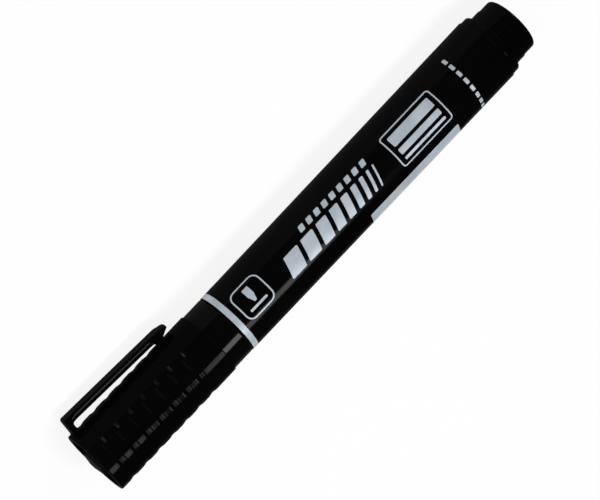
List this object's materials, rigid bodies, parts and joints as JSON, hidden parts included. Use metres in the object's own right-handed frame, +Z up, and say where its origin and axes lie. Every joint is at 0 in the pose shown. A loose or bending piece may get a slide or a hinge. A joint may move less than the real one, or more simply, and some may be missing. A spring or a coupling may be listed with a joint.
{
  "type": "alcohol marker",
  "caption": "Round permanent marker with a ribbed pull-off cap, pocket clip, seal cup, fibre reservoir, bullet nib and a tail plug that the cap posts on.",
  "frame": {"origin": "on the marker's axis, at the rear face of the tail flange, where a posted cap stops", "axes": "+X along the marker from the tail to the cap end, +Z up as it lies on a desk, with the clip low on the -Y side"},
  "size_m": [0.1389, 0.0199, 0.017],
  "materials": {
    "barrel_plastic": "moulded black, glossy",
    "cap_plastic": "moulded black, satin gloss",
    "holder_plastic": "moulded black, satin",
    "ink_fibre": "bonded fibre soaked with ink",
    "film": "thin clear film",
    "nib_fibre": "bonded felt soaked with ink",
    "silver_print": "silver print on the barrel"
  },
  "bodies": {
    "barrel": {"barrel": "barrel_plastic", "tail_plug": "barrel_plastic", "reservoir_core": "ink_fibre", "reservoir_wrap": "film", "nib_holder": "holder_plastic", "nib": "nib_fibre"},
    "inner_cap": {"inner_cap": "holder_plastic"},
    "cap": {"cap_shell": "cap_plastic"},
    "clip": {"pocket_clip": "cap_plastic"}
  },
  "joints": [
    {"name": "cap_pull", "type": "slide", "parent": "barrel", "child": "inner_cap", "axis": [1, 0, 0], "range_m": [0, 0.045]},
    {"name": "cap_twist", "type": "hinge", "parent": "inner_cap", "child": "cap", "pos_m": [0.12895, 0, 0], "axis": [1, 0, 0], "continuous": true},
    {"name": "clip_flex", "type": "hinge", "parent": "cap", "child": "clip", "pos_m": [0.12927, -0.00661, -0.00414], "axis": [0, -0.5313, 0.8472], "range_deg": [0, 6], "stiffness_Nm_per_rad": 1.2}
  ]
}
